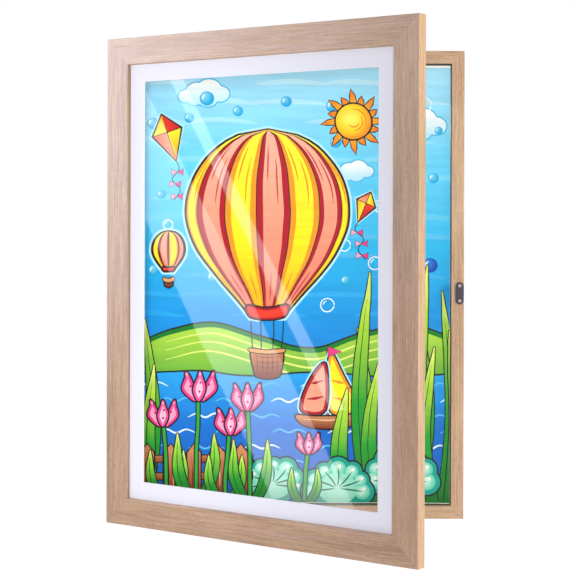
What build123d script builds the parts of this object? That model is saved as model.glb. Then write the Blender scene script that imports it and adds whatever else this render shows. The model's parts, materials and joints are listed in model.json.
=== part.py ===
"""A hinged children's art frame for the wall, holding A3 sheets.

A shallow oak-veneered box hangs on the wall and stores the drawings. A glazed and
matted door of the same wood is hinged to its left side and held shut by a magnet.
Millimetres, +Z up, the wall at Y = 0 and the front facing -Y. The origin is the middle
notch of the upper hanger, where the wall nail sits. The door is drawn as it hangs, open.
"""
from build123d import *
from math import cos, radians, sin
import os

# Sheets kept in the box, and their play in its opening
sheet_width = 297.0
sheet_height = 420.0
sheet_play_across = 5.6
sheet_play_up = 1.6
sheet_thickness = 0.4
sheet_depth = 11.0
sheet_side_gap = 0.3
sheet_foot_gap = 0.7

# Door moulding
door_depth = 11.5
door_face = 25.2
lip_depth = 4.6
rabbet_width = 6.0
edge_round = 0.7

# Mat and glazing in the door's rabbet, the mat in front
mat_thickness = 1.3
mat_showing = 16.3
glazing_gap = 0.15
glazing_thickness = 1.5
rabbet_play = 0.5

# Box on the wall
box_board = 12.2
box_depth = 22.5
back_ledge = 5.0
back_setback = 1.5
back_thickness = 3.0
back_play = 0.5
overhang_side = 6.0
overhang_top = 8.6
overhang_bottom = 2.4

# Butt hinges
door_open_angle = 34.7
hinge_length = 25.0
hinge_inset = 62.0
leaf_width = 9.0
leaf_thickness = 0.8
leaf_play = 0.3
leaf_corner = 1.5
knuckle_wall = 0.8
knuckle_clearance = 0.3
knuckle_gap = 0.3
pin_radius = 0.8
pin_clearance = 0.05
pin_head_radius = 1.3
pin_head_height = 0.5
hinge_hole_spacing = 14.0

# Countersunk hinge screws
screw_head_radius = 1.6
screw_radius = 0.9
screw_length = 7.0
screw_tip = 1.6
recess_length = 1.9
recess_width = 0.5
recess_depth = 0.45

# Magnetic catch
catch_width = 7.7
catch_length = 21.2
catch_thickness = 0.8
catch_edge = 0.4
catch_drop = 7.9
catch_hole_spacing = 14.4
catch_head_radius = 2.5
catch_head_height = 0.7
catch_head_round = 0.35
catch_screw_radius = 1.2
catch_screw_length = 10.0
catch_recess_length = 2.8
magnet_radius = 3.2
magnet_height = 2.4
magnet_fit = 0.02
cup_wall = 0.8
cup_floor = 0.8
cup_clearance = 0.3

# Rubber dots
closing_dot_radius = 3.5
closing_dot_inset = 28.0
closing_dot_clearance = 0.3
wall_dot_radius = 3.4
wall_dot_thickness = 2.0
wall_dot_inset = 30.0

# Corner nails hammered into the backs of the mitres
door_nail_inset = 6.0
door_nail_leg = 7.0
door_nail_height = 6.0
box_nail_inset = 1.9
box_nail_leg = 4.6
box_nail_height = 8.0
nail_strip = 0.6

# Framer's points behind the mat
point_width = 8.0
point_bite = 4.0
point_showing = 4.5
point_thickness = 0.5
stile_points_share = (-0.36, 0.0, 0.36)
rail_points_share = (-0.27, 0.27)

# Staples through the back panel
staple_crown = 8.0
staple_wire = 0.7
staple_leg = 7.0
staple_inset = 2.3
stile_staples_share = (-0.38, -0.12, 0.12, 0.38)
rail_staples_share = (-0.3, 0.3)

# Sawtooth hangers
hanger_width = 42.0
hanger_height = 9.0
hanger_edge = 1.5
hanger_thickness = 0.8
hanger_lift = 1.0
hanger_ramp = 1.5
hanger_raised = 24.0
tooth_pitch = 3.0
tooth_depth = 1.6
tooth_count = 7
hanger_nail_reach = 17.0
hanger_nail_drop = 4.2
hanger_nail_radius = 0.7
hanger_nail_head_radius = 1.6
hanger_nail_head_height = 0.5
hanger_nail_length = 9.0

# How far a cut runs past what it cuts
overrun = 2.0

# The box is built round the sheets, and the door laps over the box
opening_width = sheet_width + sheet_play_across
opening_height = sheet_height + sheet_play_up
box_width = opening_width + 2 * box_board
box_height = opening_height + 2 * box_board
door_width = box_width + 2 * overhang_side
door_height = box_height + overhang_top + overhang_bottom
back_rabbet = back_setback + back_thickness
closed_gap = 2 * leaf_thickness + leaf_play
half_gap = closed_gap / 2
knuckle_radius = pin_radius + pin_clearance + knuckle_wall
leaf_start = knuckle_radius + knuckle_clearance
edge_to_axis = overhang_side - leaf_start
hinge_reach = box_height / 2 - hinge_inset
notch_length = hinge_length + 2 * (pin_head_height + knuckle_clearance)
hanger_drop = hanger_edge + hanger_height - tooth_depth
catch_across = box_width / 2 - catch_edge - catch_width / 2

# Levels out from the wall and up from the hanger's notch
box_back_y = -wall_dot_thickness
box_front_y = box_back_y - box_depth
hinge_x = -box_width / 2 - leaf_start
hinge_y = box_front_y - half_gap
box_middle_z = hanger_drop - box_height / 2
door_rise = (overhang_top - overhang_bottom) / 2

# The box seen from the front and from the wall
box_front = Plane(origin=(0, box_front_y, box_middle_z), x_dir=(1, 0, 0), z_dir=(0, -1, 0))
box_back = Plane(origin=(0, box_back_y, box_middle_z), x_dir=(-1, 0, 0), z_dir=(0, 1, 0))
panel_back = box_back.offset(-back_setback)

# The hinge axis with x along the door's width, for the box and for the open door
box_swing = Plane(origin=(hinge_x, hinge_y, box_middle_z), x_dir=(1, 0, 0), z_dir=(0, -1, 0))
open_cos = cos(radians(door_open_angle))
open_sin = sin(radians(door_open_angle))
door_swing = Plane(
    origin=(hinge_x, hinge_y, box_middle_z),
    x_dir=(open_cos, -open_sin, 0),
    z_dir=(-open_sin, -open_cos, 0),
)


def on(plane, x, y, z=0.0, turn=(0, 0, 0)):
    """A plane at a point given in another plane's own directions, turned about them."""
    return Plane(plane.location * Location((x, y, z), turn))


door_front = on(door_swing, door_width / 2 - edge_to_axis, door_rise, half_gap + door_depth)
door_back = on(door_front, 0, 0, -door_depth, (0, 180, 0))

# Turns that bring each side of a frame to the bottom, seen from the front and from behind
front_turns = {"rail_bottom": 0, "stile_latch": 90, "rail_top": 180, "stile_hinge": 270}
back_turns = {"rail_bottom": 0, "stile_hinge": 90, "rail_top": 180, "stile_latch": 270}


def side_plane(face, width, height, turn):
    """The middle of one side's outer edge, with x along the side and y into the frame."""
    reach = height / 2 if turn in (0, 180) else width / 2
    return on(on(face, 0, 0, turn=(0, 0, turn)), 0, -reach)


def corner_planes(face, width, height):
    """The four outer corners of a frame, each with x and y along its two edges."""
    flat = (width / 2, height / 2)
    upright = (height / 2, width / 2)
    reaches = {0: flat, 90: upright, 180: flat, 270: upright}
    return [
        on(on(face, 0, 0, turn=(0, 0, turn)), -across, -down)
        for turn, (across, down) in reaches.items()
    ]


def along(plane, length, shares, y):
    """Places along a side, at shares of its length from its middle."""
    return [on(plane, share * length, y).location for share in shares]


def finish(name, piece):
    """Label a piece and write its file."""
    piece.part.label = name
    export_step(piece.part, f"parts/{name}.step")


os.makedirs("parts", exist_ok=True)


def corner_nails(face, width, height, inset, leg, tall):
    """V-shaped strips driven across the four mitres from behind."""
    with BuildPart() as nails:
        with BuildSketch(*corner_planes(face, width, height)):
            with Locations((inset, inset)):
                Rectangle(leg, nail_strip, align=(Align.MIN, Align.MIN))
                Rectangle(nail_strip, leg, align=(Align.MIN, Align.MIN))
        extrude(amount=-tall)
    return nails


door_corner_nails = corner_nails(
    door_back, door_width, door_height, door_nail_inset, door_nail_leg, door_nail_height
)
box_corner_nails = corner_nails(
    box_back, box_width, box_height, box_nail_inset, box_nail_leg, box_nail_height
)
finish("door_corner_nails", door_corner_nails)
finish("box_corner_nails", box_corner_nails)


# Flat points pushed into the rabbet's wall, lying on the back of the glazing
glazing_level = lip_depth + mat_thickness + glazing_gap
glazing_back = door_front.offset(-glazing_level - glazing_thickness)
point_places = []
for name, turn in front_turns.items():
    side = side_plane(glazing_back, door_width, door_height, turn)
    upright = name.startswith("stile")
    length = door_height if upright else door_width
    shares = stile_points_share if upright else rail_points_share
    point_places += along(side, length, shares, door_face - rabbet_width)

with BuildPart() as glazing_points:
    with BuildSketch(*[Plane(place) for place in point_places]):
        with BuildLine():
            Polyline(
                (-point_width / 2, point_showing),
                (point_width / 2, point_showing),
                (point_width / 2, 0),
                (0, -point_bite),
                (-point_width / 2, 0),
                close=True,
            )
        make_face()
    extrude(amount=-point_thickness)
finish("glazing_points", glazing_points)


# Wire staples through the edge of the back panel into its ledge
panel_width = box_width - 2 * (box_board - back_ledge) - 2 * back_play
panel_height = box_height - 2 * (box_board - back_ledge) - 2 * back_play
staple_places = []
for name, turn in back_turns.items():
    side = side_plane(panel_back, panel_width, panel_height, turn)
    upright = name.startswith("stile")
    length = panel_height if upright else panel_width
    shares = stile_staples_share if upright else rail_staples_share
    staple_places += along(side, length, shares, staple_inset)

with BuildPart() as back_panel_staples:
    with Locations(*staple_places):
        Box(staple_crown, staple_wire, staple_wire, align=(Align.CENTER, Align.CENTER, Align.MIN))
        with GridLocations(staple_crown - staple_wire, 0, 2, 1):
            Box(staple_wire, staple_wire, staple_leg, align=(Align.CENTER, Align.CENTER, Align.MAX))
finish("back_panel_staples", back_panel_staples)


def countersunk_blank():
    """A countersunk hinge screw before its head is slotted, head upwards at the origin."""
    cone = screw_head_radius - screw_radius
    with BuildPart() as blank:
        Cone(screw_radius, screw_head_radius, cone, align=(Align.CENTER, Align.CENTER, Align.MAX))
        Cylinder(screw_radius, screw_length - screw_tip, align=(Align.CENTER, Align.CENTER, Align.MAX))
        with Locations((0, 0, screw_tip - screw_length)):
            Cone(0, screw_radius, screw_tip, align=(Align.CENTER, Align.CENTER, Align.MAX))
    return blank


def headed_blank(head_radius, head_height, head_round, radius, length):
    """A nail or screw whose round head stands on the surface, its seat at the origin."""
    with BuildPart() as blank:
        Cylinder(head_radius, head_height, align=(Align.CENTER, Align.CENTER, Align.MIN))
        fillet(blank.edges().group_by(Axis.Z)[-1], head_round)
        Cylinder(radius, length - radius, align=(Align.CENTER, Align.CENTER, Align.MAX))
        with Locations((0, 0, radius - length)):
            Cone(0, radius, radius, align=(Align.CENTER, Align.CENTER, Align.MAX))
    return blank


def slotted(blank, length, level):
    """The same screw with a cross recess sunk from the top of its head."""
    with BuildPart() as screw:
        add(blank.part)
        with Locations((0, 0, level)):
            Box(length, recess_width, recess_depth,
                align=(Align.CENTER, Align.CENTER, Align.MAX), mode=Mode.SUBTRACT)
            Box(recess_width, length, recess_depth,
                align=(Align.CENTER, Align.CENTER, Align.MAX), mode=Mode.SUBTRACT)
    return screw


def placed(one, places):
    """Copies of one fastener at its places, kept as one group."""
    with BuildPart() as group:
        with Locations(*places):
            add(one.part)
    return group


# Hinge screws, driven from the gap into the door's back and the box's front
hinge_levels = {"upper": hinge_reach, "lower": -hinge_reach}
hole_levels = [
    level + step for level in hinge_levels.values()
    for step in (-hinge_hole_spacing / 2, hinge_hole_spacing / 2)
]
hole_across = leaf_start + leaf_width / 2
screw_face = half_gap - leaf_thickness
door_screw_places = [
    on(door_swing, hole_across, level, screw_face, (0, 180, 0)).location for level in hole_levels
]
box_screw_places = [on(box_swing, hole_across, level, -screw_face).location for level in hole_levels]
hinge_blank = countersunk_blank()
hinge_screw = slotted(hinge_blank, recess_length, 0)
door_screw_blanks = placed(hinge_blank, door_screw_places)
box_screw_blanks = placed(hinge_blank, box_screw_places)
finish("hinge_door_screws", placed(hinge_screw, door_screw_places))
finish("hinge_box_screws", placed(hinge_screw, box_screw_places))


# Pan-headed screws that hold the catch plate
catch_screw_places = [
    on(box_front, catch_across, -catch_drop + step, catch_thickness).location
    for step in (-catch_hole_spacing / 2, catch_hole_spacing / 2)
]
catch_blank = headed_blank(
    catch_head_radius, catch_head_height, catch_head_round, catch_screw_radius, catch_screw_length
)
catch_screw_blanks = placed(catch_blank, catch_screw_places)
catch_screw = slotted(catch_blank, catch_recess_length, catch_head_height)
finish("catch_plate_screws", placed(catch_screw, catch_screw_places))


# Hangers on the top rail and on the hinge stile, for hanging the frame either way up
top_edge = side_plane(box_back, box_width, box_height, back_turns["rail_top"])
side_edge = side_plane(box_back, box_width, box_height, back_turns["stile_hinge"])
hanger_edges = {"portrait": top_edge, "landscape": side_edge}
hanger_nail_places = [
    on(edge, step, hanger_nail_drop, hanger_thickness).location
    for edge in hanger_edges.values() for step in (-hanger_nail_reach, hanger_nail_reach)
]
hanger_nail = headed_blank(
    hanger_nail_head_radius, hanger_nail_head_height, hanger_nail_head_height / 2,
    hanger_nail_radius, hanger_nail_length,
)
hanger_nails = placed(hanger_nail, hanger_nail_places)
finish("hanger_nails", hanger_nails)


def sawtooth_hanger(edge):
    """A pressed strip, raised in its middle, with notches along the edge that takes the nail."""
    flat = hanger_width / 2
    foot = hanger_raised / 2 + hanger_ramp
    step = hanger_raised / 2
    rise = hanger_lift + hanger_thickness
    with BuildPart() as hanger:
        with BuildSketch(on(edge, 0, hanger_edge, 0, (-90, 0, 0))):
            with BuildLine():
                Polyline(
                    (-flat, 0), (-foot, 0), (-step, -hanger_lift), (step, -hanger_lift),
                    (foot, 0), (flat, 0), (flat, -hanger_thickness), (foot, -hanger_thickness),
                    (step, -rise), (-step, -rise), (-foot, -hanger_thickness),
                    (-flat, -hanger_thickness), close=True,
                )
            make_face()
        extrude(amount=hanger_height)
        with BuildSketch(edge):
            with Locations((0, hanger_edge + hanger_height)):
                with GridLocations(tooth_pitch, 0, tooth_count, 1):
                    Polygon((-tooth_pitch / 2, 0), (tooth_pitch / 2, 0), (0, -tooth_depth), align=None)
        extrude(amount=rise + overrun, mode=Mode.SUBTRACT)
        add(hanger_nails.part, mode=Mode.SUBTRACT)
    return hanger


hangers = {name: sawtooth_hanger(edge) for name, edge in hanger_edges.items()}
for name, hanger in hangers.items():
    finish(f"hanger_{name}", hanger)


# Magnet in a steel cup, let into the back of the latch stile opposite the catch plate
cup_radius = magnet_radius + magnet_fit + cup_wall
cup_height = magnet_height + cup_floor
cup_proud = closed_gap - catch_thickness - cup_clearance
cup_face = on(door_swing, catch_across - hinge_x, -catch_drop, half_gap - cup_proud, (0, 180, 0))

with BuildPart() as catch_magnet:
    with BuildSketch(cup_face):
        Circle(magnet_radius)
    extrude(amount=-magnet_height)
finish("catch_magnet", catch_magnet)

with BuildPart() as magnet_cup:
    with BuildSketch(cup_face):
        Circle(cup_radius)
    extrude(amount=-cup_height)
    with BuildSketch(cup_face):
        Circle(magnet_radius + magnet_fit)
    extrude(amount=-magnet_height, mode=Mode.SUBTRACT)
finish("magnet_cup", magnet_cup)

with BuildPart() as cup_socket:
    with BuildSketch(cup_face):
        Circle(cup_radius + magnet_fit)
    extrude(amount=-cup_height)


# Notches in the door's back that clear the hinge knuckles
with BuildPart() as knuckle_notches:
    with BuildSketch(door_swing.offset(half_gap - overrun)):
        with Locations(*[(0, level) for level in hinge_levels.values()]):
            Rectangle(2 * leaf_start, notch_length)
    extrude(amount=leaf_start - half_gap + overrun)


def mitred_side(face, length, board, depth, ledge, ledge_depth, cutters):
    """One side of a frame: mitred ends, eased long edges and a rabbet along its inner back edge."""
    with BuildPart() as side_piece:
        with BuildSketch(face):
            with BuildLine():
                Polyline(
                    (-length / 2, 0), (length / 2, 0),
                    (length / 2 - board, board), (board - length / 2, board), close=True,
                )
            make_face()
        extrude(amount=-depth)
        fillet(side_piece.edges().filter_by(Axis(face.origin, face.x_dir)), edge_round)
        with BuildSketch(face.offset(-depth)):
            with Locations((0, board - ledge)):
                Rectangle(length, ledge + overrun, align=(Align.CENTER, Align.MIN))
        extrude(amount=ledge_depth, mode=Mode.SUBTRACT)
        for cutter in cutters:
            add(cutter.part, mode=Mode.SUBTRACT)
    return side_piece


# The four sides of the door and of the box, each cut by the fasteners and fittings it takes
door_cutters = {
    "rail_bottom": [], "stile_latch": [cup_socket], "rail_top": [],
    "stile_hinge": [knuckle_notches, door_screw_blanks],
}
box_cutters = {
    "rail_bottom": [], "stile_latch": [catch_screw_blanks], "rail_top": [hanger_nails],
    "stile_hinge": [box_screw_blanks, hanger_nails],
}
for name, turn in front_turns.items():
    upright = name.startswith("stile")
    finish(f"door_{name}", mitred_side(
        side_plane(door_front, door_width, door_height, turn),
        door_height if upright else door_width, door_face, door_depth,
        rabbet_width, door_depth - lip_depth,
        [door_corner_nails, glazing_points] + door_cutters[name],
    ))
    finish(f"box_{name}", mitred_side(
        side_plane(box_front, box_width, box_height, turn),
        box_height if upright else box_width, box_board, box_depth,
        back_ledge, back_rabbet,
        [box_corner_nails, back_panel_staples] + box_cutters[name],
    ))


# The mat behind the lip, then the clear glazing
pane_width = door_width - 2 * (door_face - rabbet_width) - 2 * rabbet_play
pane_height = door_height - 2 * (door_face - rabbet_width) - 2 * rabbet_play
window_width = door_width - 2 * (door_face + mat_showing)
window_height = door_height - 2 * (door_face + mat_showing)

with BuildPart() as door_mat:
    with BuildSketch(door_front.offset(-lip_depth)):
        Rectangle(pane_width, pane_height)
        Rectangle(window_width, window_height, mode=Mode.SUBTRACT)
    extrude(amount=-mat_thickness)
finish("door_mat", door_mat)

with BuildPart() as door_glazing:
    with BuildSketch(door_front.offset(-glazing_level)):
        Rectangle(pane_width, pane_height)
    extrude(amount=-glazing_thickness)
finish("door_glazing", door_glazing)


# Back panel in the box's rear rabbet
with BuildPart() as back_panel:
    with BuildSketch(panel_back):
        Rectangle(panel_width, panel_height)
    extrude(amount=-back_thickness)
    add(back_panel_staples.part, mode=Mode.SUBTRACT)
finish("back_panel", back_panel)


# The drawing on show, and the ones stored behind it down to the back panel
stack_thickness = box_depth - back_rabbet - sheet_depth - sheet_thickness
sheet_across = opening_width / 2 - sheet_side_gap - sheet_width / 2
sheet_up = sheet_foot_gap + (sheet_height - opening_height) / 2

with BuildPart() as artwork_sheet:
    with BuildSketch(box_front.offset(-sheet_depth)):
        with Locations((sheet_across, sheet_up)):
            Rectangle(sheet_width, sheet_height)
    extrude(amount=-sheet_thickness)
finish("artwork_sheet", artwork_sheet)

with BuildPart() as stored_drawings:
    with BuildSketch(box_front.offset(-sheet_depth - sheet_thickness)):
        with Locations((0, (sheet_height - opening_height) / 2)):
            Rectangle(sheet_width, sheet_height)
    extrude(amount=-stack_thickness)
finish("stored_drawings", stored_drawings)


# Steel plate on the box's rim that the magnet holds to
with BuildPart() as catch_plate:
    with BuildSketch(box_front):
        with Locations((catch_across, -catch_drop)):
            SlotOverall(catch_length, catch_width, rotation=90)
    extrude(amount=catch_thickness)
    add(catch_screw_blanks.part, mode=Mode.SUBTRACT)
finish("catch_plate", catch_plate)


def hinge_leaf(section, knuckles, cutter):
    """A hinge leaf, drawn across the pin at the hinge's middle with its seat on the +y side."""
    with BuildPart() as leaf:
        with BuildSketch(section.offset(-hinge_length / 2)):
            with Locations((leaf_start, half_gap)):
                Rectangle(leaf_width, leaf_thickness, align=(Align.MIN, Align.MAX))
        extrude(amount=hinge_length)
        corners = leaf.edges().filter_by(Axis(section.origin, section.y_dir))
        fillet(corners.group_by(Axis(section.origin, section.x_dir))[-1], leaf_corner)
        for low, high in knuckles:
            with BuildSketch(section.offset(low)):
                Circle(knuckle_radius)
                with Locations((0, half_gap)):
                    Rectangle(leaf_start + leaf_thickness, leaf_thickness, align=(Align.MIN, Align.MAX))
                Circle(pin_radius + pin_clearance, mode=Mode.SUBTRACT)
            extrude(amount=high - low)
        add(cutter.part, mode=Mode.SUBTRACT)
    return leaf


# Three knuckles to a hinge: the outer two on the box's leaf, the middle one on the door's
hinge_end = hinge_length / 2
middle_end = hinge_length / 6 - knuckle_gap / 2
outer_start = hinge_length / 6 + knuckle_gap / 2
for name, level in hinge_levels.items():
    box_section = on(box_swing, 0, level, 0, (-90, 0, 0))
    door_section = on(door_swing, 0, level, 0, (90, 0, 0))
    finish(f"hinge_{name}_box_leaf", hinge_leaf(
        box_section, [(-hinge_end, -outer_start), (outer_start, hinge_end)], box_screw_blanks,
    ))
    finish(f"hinge_{name}_door_leaf", hinge_leaf(
        door_section, [(-middle_end, middle_end)], door_screw_blanks,
    ))
    with BuildPart() as hinge_pin:
        with BuildSketch(box_section.offset(-hinge_end)):
            Circle(pin_radius)
        extrude(amount=hinge_length)
        with BuildSketch(box_section.offset(-hinge_end - pin_head_height)):
            Circle(pin_head_radius)
        extrude(amount=pin_head_height)
        with BuildSketch(box_section.offset(hinge_end)):
            Circle(pin_head_radius)
        extrude(amount=pin_head_height)
    finish(f"hinge_{name}_pin", hinge_pin)


# Rubber dots that the door closes on, above and below the catch
dot_across = box_width / 2 - box_board / 2 - hinge_x
dot_reach = box_height / 2 - closing_dot_inset
with BuildPart() as closing_dots:
    with BuildSketch(door_swing.offset(half_gap)):
        with Locations((dot_across, dot_reach), (dot_across, -dot_reach)):
            Circle(closing_dot_radius)
    extrude(amount=closing_dot_clearance - closed_gap)
finish("closing_dots", closing_dots)


# Rubber dots on the back of the stiles that keep the frame square to the wall
with BuildPart() as wall_dots:
    with BuildSketch(box_back):
        with GridLocations(
            box_width - (box_board - back_ledge), box_height - 2 * wall_dot_inset, 2, 2
        ):
            Circle(wall_dot_radius)
    extrude(amount=wall_dot_thickness)
finish("wall_dots", wall_dots)
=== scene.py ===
"""The looks of a hinged children's art frame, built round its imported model.

The frame's space is in metres: the wall is the plane Y = 0, the front faces -Y, and the door
hangs open on its left side. Sizes of the object are written in millimetres times MM, those of
the studio in metres. The drawing on show is laid out in millimetres on its sheet.
"""
import bpy
import json
import math
import numpy as np
from mathutils import Matrix, Vector, geometry, noise


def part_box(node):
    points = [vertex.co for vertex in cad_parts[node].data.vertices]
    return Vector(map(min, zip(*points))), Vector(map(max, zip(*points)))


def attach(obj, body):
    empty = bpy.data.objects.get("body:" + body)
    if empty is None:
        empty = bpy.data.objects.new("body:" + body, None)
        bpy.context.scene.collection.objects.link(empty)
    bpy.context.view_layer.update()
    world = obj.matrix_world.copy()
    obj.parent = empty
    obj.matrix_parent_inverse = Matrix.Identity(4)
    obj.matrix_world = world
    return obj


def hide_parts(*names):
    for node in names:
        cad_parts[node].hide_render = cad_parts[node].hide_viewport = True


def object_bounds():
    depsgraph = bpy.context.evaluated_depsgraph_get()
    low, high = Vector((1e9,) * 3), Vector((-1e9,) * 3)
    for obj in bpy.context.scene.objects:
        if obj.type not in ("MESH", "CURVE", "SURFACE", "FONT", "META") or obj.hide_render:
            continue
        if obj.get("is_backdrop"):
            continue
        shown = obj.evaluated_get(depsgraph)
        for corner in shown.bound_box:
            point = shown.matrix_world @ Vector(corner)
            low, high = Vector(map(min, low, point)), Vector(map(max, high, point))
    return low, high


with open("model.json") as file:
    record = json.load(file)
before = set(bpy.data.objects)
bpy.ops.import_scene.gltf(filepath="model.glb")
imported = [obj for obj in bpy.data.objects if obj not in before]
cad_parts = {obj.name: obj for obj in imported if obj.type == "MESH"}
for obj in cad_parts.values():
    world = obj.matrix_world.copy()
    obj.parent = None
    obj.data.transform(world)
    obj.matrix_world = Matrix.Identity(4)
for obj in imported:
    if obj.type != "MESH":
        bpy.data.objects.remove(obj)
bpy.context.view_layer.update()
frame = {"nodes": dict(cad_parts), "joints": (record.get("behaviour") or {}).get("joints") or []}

MM = 0.001
nodes = frame["nodes"]
hinge = frame["joints"][0]
hinge_axis = Vector(hinge["pos_m"])
open_angle = math.radians(-hinge["range_deg"][0])

# The photograph's camera: a square frame whose optical axis lies above its middle, and which
# is level but for a roll in radians
photo_side = 576
focal_pixels = 1523.14
axis_above_middle_pixels = 68.03
sensor_width = 36.0
camera_place = Vector((-4.46, -1475.43, -152.70)) * MM
camera_roll = 0.00304


def new_object(name, data):
    """An object of the scene that holds a mesh, a lamp or the camera."""
    made = bpy.data.objects.new(name, data)
    bpy.context.scene.collection.objects.link(made)
    return made


def place_camera():
    """A camera where the photographer's was."""
    data = bpy.data.cameras.new("camera")
    data.sensor_width = sensor_width
    data.lens = focal_pixels / photo_side * sensor_width
    data.shift_y = -axis_above_middle_pixels / photo_side
    camera = new_object("camera", data)
    camera.location = camera_place
    level = Matrix.Rotation(math.radians(90), 4, "X")
    camera.rotation_euler = (level @ Matrix.Rotation(camera_roll, 4, "Z")).to_euler()
    bpy.context.scene.camera = camera


def colour(text):
    """A colour written as sRGB hex, in linear light."""
    parts = [int(text[i:i + 2], 16) / 255 for i in (1, 3, 5)]
    linear = [p / 12.92 if p <= 0.04045 else ((p + 0.055) / 1.055) ** 2.4 for p in parts]
    return (*linear, 1.0)


def add(tree, kind, inputs=None, **settings):
    """Adds a node: settings are its properties, inputs its values or the sockets that feed it."""
    made = tree.nodes.new(kind)
    for name, value in settings.items():
        setattr(made, name, value)
    for name, value in (inputs or {}).items():
        if isinstance(value, bpy.types.NodeSocket):
            tree.links.new(value, made.inputs[name])
        else:
            made.inputs[name].default_value = value
    return made


def reckon(tree, operation, *values, **settings):
    """What an operation makes of numbers or sockets."""
    return add(tree, "ShaderNodeMath", dict(enumerate(values)), operation=operation,
               **settings).outputs[0]


def ranged(tree, value, inputs, kind="LINEAR"):
    """A value brought from one range to another."""
    return add(tree, "ShaderNodeMapRange", {"Value": value, **inputs},
               interpolation_type=kind).outputs["Result"]


def ramp(tree, value, *stops):
    """The colour of a value, between stops that are a place and an sRGB hex each."""
    made = add(tree, "ShaderNodeValToRGB", {"Fac": value})
    points = made.color_ramp.elements
    for point, (position, text) in zip(points, (stops[0], stops[-1])):
        point.position, point.color = position, colour(text)
    for position, text in stops[1:-1]:
        points.new(position).color = colour(text)
    return made.outputs["Color"]


def blend(tree, share, under, over, kind="MIX"):
    """One colour laid over another by a share."""
    return add(tree, "ShaderNodeMix", {"Factor": share, 6: under, 7: over},
               data_type="RGBA", blend_type=kind).outputs[2]


def cloud(tree, spot, size, detail, shift=(0, 0, 0), roughness=0.5):
    """Noise in grains that have this size in metres along each axis."""
    place = add(tree, "ShaderNodeMapping", {
        "Vector": spot, "Scale": tuple(1 / s for s in size), "Location": shift})
    return add(tree, "ShaderNodeTexNoise", {
        "Vector": place.outputs["Vector"], "Scale": 1.0, "Detail": detail,
        "Roughness": roughness}).outputs["Fac"]


def relief(tree, height, strength, depth):
    """The normals of a fine relief of this depth."""
    return add(tree, "ShaderNodeBump", {
        "Height": height, "Strength": strength, "Distance": depth}).outputs["Normal"]


def new_material(name):
    """An empty material and its tree."""
    material = bpy.data.materials.new(name)
    material.use_nodes = True
    material.node_tree.nodes.clear()
    return material, material.node_tree


def shown(material, shader):
    """The material, with this shader as its surface."""
    add(material.node_tree, "ShaderNodeOutputMaterial", {"Surface": shader})
    return material


def principled(material, inputs):
    """The material, with one Principled shader as its surface."""
    shader = add(material.node_tree, "ShaderNodeBsdfPrincipled", inputs)
    return shown(material, shader.outputs["BSDF"])


def coat(material, *names):
    """Gives CAD nodes their finish."""
    for name in names:
        for slot in nodes[name].material_slots:
            slot.material = material


# The door's own axes: x across it from its hinge side, z up, its front facing -Y
door_turn = Matrix.Rotation(open_angle, 3, "Z")


def extent(names, turn):
    """Lowest and highest corner of some nodes in axes turned about the hinge."""
    spots = [turn @ (v.co - hinge_axis) for name in names for v in nodes[name].data.vertices]
    return (Vector(map(min, zip(*spots))), Vector(map(max, zip(*spots))))


def grain_place(tree, turn, low, high):
    """Coordinates in metres about the middle of a frame, with x across it and z up it."""
    spot = add(tree, "ShaderNodeTexCoord").outputs["Object"]
    place = -(turn @ hinge_axis) - (low + high) / 2
    return add(tree, "ShaderNodeMapping", {
        "Vector": spot, "Location": place, "Rotation": turn.to_euler()}).outputs["Vector"]


# What the wood's figure is made of: length along the bar, width across it, and its share
tone_size, tone_share = (150 * MM, 18 * MM), 0.25
band_size, band_share = (85 * MM, 4.5 * MM), 0.15
streak_size, streak_share = (30 * MM, 0.8 * MM), 0.6
pore_size, pore_share = (5 * MM, 0.4 * MM), 0.6
joint_width, joint_shade = 0.3 * MM, 0.86
# Painted shade on the inner sides of some bars, where the recess lies in shade: how dark
# it gets, down to what depth, and how wide the bars are
box_board = 12.2 * MM
door_face = 25.2 * MM
painted_recess_shades = {
    "door_stile_hinge": (0.5, 4.6 * MM, door_face),
    "box_rail_bottom": (0.85, 9 * MM, box_board),
}
for name in ("box_rail_top", "box_stile_hinge", "box_stile_latch"):
    painted_recess_shades[name] = (0.95, 1.4 * MM, box_board)
recess_shade_start = 0.2 * MM
side_tolerance = 0.05 * MM


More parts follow.
